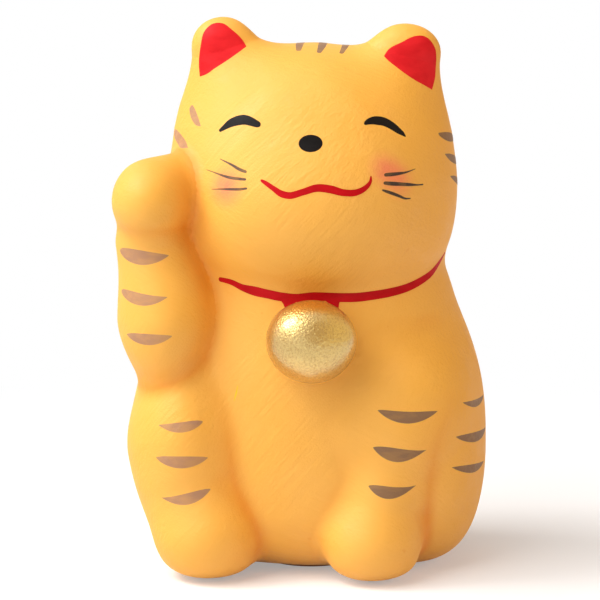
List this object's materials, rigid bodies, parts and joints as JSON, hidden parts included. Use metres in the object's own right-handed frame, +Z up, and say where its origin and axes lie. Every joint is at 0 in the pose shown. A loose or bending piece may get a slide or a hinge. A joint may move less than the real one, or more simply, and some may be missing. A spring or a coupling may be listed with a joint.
{
  "type": "cat figurine",
  "caption": "Hollow ceramic beckoning cat sitting upright, with one foreleg raised beside its head, a bell at the chest, a bobtail and a flat base closed by a vented disc.",
  "frame": {"origin": "middle of the base disc, on the plane the figurine stands on, below the head's upright axis", "axes": "+Z up, the cat faces -Y, and its raised foreleg is on the -X side"},
  "size_m": [0.043, 0.0405, 0.064],
  "materials": {
    "painted_clay": "matt",
    "gold_paint": "satin",
    "bare_clay": "matt"
  },
  "bodies": {
    "root": {"front_shell": "painted_clay", "back_shell": "painted_clay", "raised_foreleg": "painted_clay", "tail": "painted_clay", "bell": "gold_paint", "base_disc": "bare_clay"}
  },
  "joints": []
}
